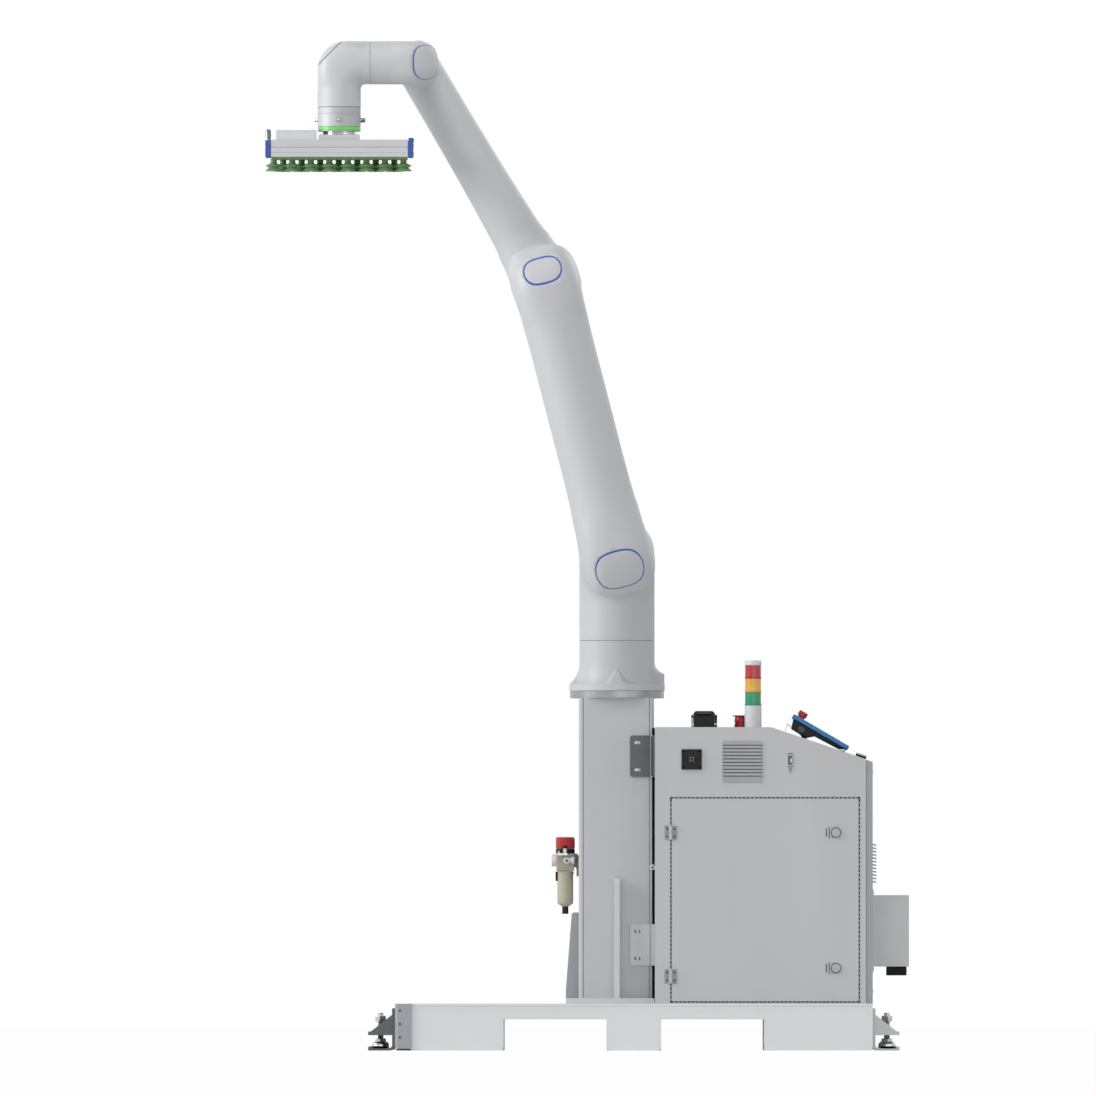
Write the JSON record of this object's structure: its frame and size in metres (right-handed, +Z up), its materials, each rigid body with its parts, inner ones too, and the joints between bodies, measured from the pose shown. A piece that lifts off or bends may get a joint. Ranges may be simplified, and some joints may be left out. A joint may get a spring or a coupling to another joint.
{
  "type": "palletizing robot",
  "caption": "Jointed arm with a vacuum gripper on a square column, with a control cabinet and a low base frame for fork handling.",
  "frame": {"origin": "on the floor under the arm's first axis", "axes": "+Z up along the arm's first axis, -X the side that the arm reaches to, -Y the side of the cabinet door"},
  "size_m": [1.8032, 0.8106, 2.8321],
  "materials": {
    "arm_grey": "painted light grey",
    "cap_grey": "light grey with blue trim",
    "frame_grey": "powder coated light grey",
    "end_grey": "powder coated mid grey",
    "cabinet_steel": "satin grey",
    "device_grey": "satin grey housing",
    "bright_metal": "zinc plated",
    "black_plastic": "matt black",
    "signal_red": "red",
    "lens_red": "red lens",
    "lens_amber": "amber lens",
    "lens_green": "green lens",
    "light_plastic": "light grey",
    "pendant_blue": "blue",
    "air_beige": "painted beige",
    "gauge_white": "white dial",
    "ring_green": "lit green",
    "cup_green": "green silicone",
    "bar_aluminium": "anodised",
    "cap_blue": "blue"
  },
  "bodies": {
    "base": {"base_shell": "frame_grey", "front_end_panel": "end_grey", "fork_tunnels": "frame_grey", "levelling_foot_front_near": "bright_metal", "levelling_foot_front_far": "bright_metal", "levelling_foot_rear_near": "bright_metal", "levelling_foot_rear_far": "bright_metal", "column": "frame_grey", "cabinet_shell": "cabinet_steel", "cabinet_back": "end_grey", "mounting_plate": "bright_metal", "robot_controller": "device_grey", "vent_grille": "cabinet_steel", "back_louvre": "end_grey", "junction_box": "device_grey", "service_port": "black_plastic", "side_latch": "bright_metal", "top_connector": "black_plastic", "stop_collar": "signal_red", "stack_light_base": "light_plastic", "stack_lens_green": "lens_green", "stack_lens_amber": "lens_amber", "stack_lens_red": "lens_red", "stack_light_cap": "light_plastic", "pendant_cradle": "end_grey", "air_body": "air_beige", "pressure_gauge": "gauge_white", "filter_bowl": "light_plastic", "robot_base": "arm_grey"},
    "door": {"cabinet_door": "cabinet_steel"},
    "lower_lock": {"door_lock_lower": "bright_metal"},
    "upper_lock": {"door_lock_upper": "bright_metal"},
    "emergency_stop": {"stop_button": "signal_red"},
    "pendant": {"pendant_frame": "pendant_blue", "pendant_body": "black_plastic"},
    "pendant_emergency_stop": {"pendant_stop": "signal_red"},
    "pressure_knob": {"air_knob": "signal_red"},
    "shoulder_link": {"shoulder": "arm_grey", "shoulder_cap": "cap_grey"},
    "upper_arm_link": {"upper_arm": "arm_grey", "upper_arm_lower_cap": "cap_grey", "upper_arm_upper_cap": "cap_grey"},
    "forearm_link": {"forearm": "arm_grey", "forearm_lower_cap": "cap_grey", "forearm_upper_cap": "cap_grey"},
    "wrist_1_link": {"wrist_1": "arm_grey", "wrist_1_cap": "cap_grey"},
    "wrist_2_link": {"wrist_2": "arm_grey", "wrist_2_cap": "cap_grey"},
    "tool": {"tool_body": "arm_grey", "light_ring": "ring_green", "tool_flange": "bright_metal", "gripper_adapter": "bar_aluminium", "gripper_bar": "bar_aluminium", "gripper_left_cap": "cap_blue", "gripper_right_cap": "cap_blue", "valve_box": "black_plastic", "suction_cups": "cup_green"},
    "release_button": {"tool_button": "bright_metal"}
  },
  "joints": [
    {"name": "joint_1", "type": "hinge", "parent": "base", "child": "shoulder_link", "pos_m": [0, 0, 1.149], "axis": [0, 0, 1], "range_deg": [-180, 180]},
    {"name": "joint_2", "type": "hinge", "parent": "shoulder_link", "child": "upper_arm_link", "pos_m": [0, -0.13, 1.376], "axis": [0, 1, 0], "range_deg": [-60, 60]},
    {"name": "joint_3", "type": "hinge", "parent": "upper_arm_link", "child": "forearm_link", "pos_m": [-0.20131, -0.14, 2.15439], "axis": [0, 1, 0], "range_deg": [-45, 130]},
    {"name": "joint_4", "type": "hinge", "parent": "forearm_link", "child": "wrist_1_link", "pos_m": [-0.56273, -0.113, 2.76552], "axis": [0, 1, 0], "range_deg": [-120, 180]},
    {"name": "joint_5", "type": "hinge", "parent": "wrist_1_link", "child": "wrist_2_link", "pos_m": [-0.69073, -0.188, 2.76552], "axis": [1, 0, 0], "range_deg": [-180, 30]},
    {"name": "joint_6", "type": "hinge", "parent": "wrist_2_link", "child": "tool", "pos_m": [-0.77772, -0.188, 2.64092], "axis": [0, 0, 1], "range_deg": [-180, 180]},
    {"name": "tool_release", "type": "slide", "parent": "tool", "child": "release_button", "axis": [0, 1, 0], "range_m": [0, 0.0012], "stiffness_N_per_m": 600},
    {"name": "door_hinge", "type": "hinge", "parent": "base", "child": "door", "pos_m": [0.15045, -0.3045, 0.1375], "axis": [0, 0, 1], "range_deg": [-120, 0]},
    {"name": "lower_lock_turn", "type": "hinge", "parent": "door", "child": "lower_lock", "pos_m": [0.6123, -0.3, 0.2304], "axis": [0, 1, 0], "range_deg": [-90, 0]},
    {"name": "upper_lock_turn", "type": "hinge", "parent": "door", "child": "upper_lock", "pos_m": [0.6123, -0.3, 0.609], "axis": [0, 1, 0], "range_deg": [-90, 0]},
    {"name": "stop_push", "type": "slide", "parent": "base", "child": "emergency_stop", "axis": [0, 0, -1], "range_m": [0, 0.004], "stiffness_N_per_m": 2500},
    {"name": "pendant_lift", "type": "slide", "parent": "base", "child": "pendant", "axis": [0.5045, 0, 0.8634], "range_m": [0, 0.08]},
    {"name": "pendant_stop_push", "type": "slide", "parent": "pendant", "child": "pendant_emergency_stop", "axis": [-0.5045, 0, -0.8634], "range_m": [0, 0.0035], "stiffness_N_per_m": 2500},
    {"name": "pressure_turn", "type": "hinge", "parent": "base", "child": "pressure_knob", "pos_m": [-0.145, 0, 0.5653], "axis": [0, 0, 1], "range_deg": [-180, 180]}
  ]
}
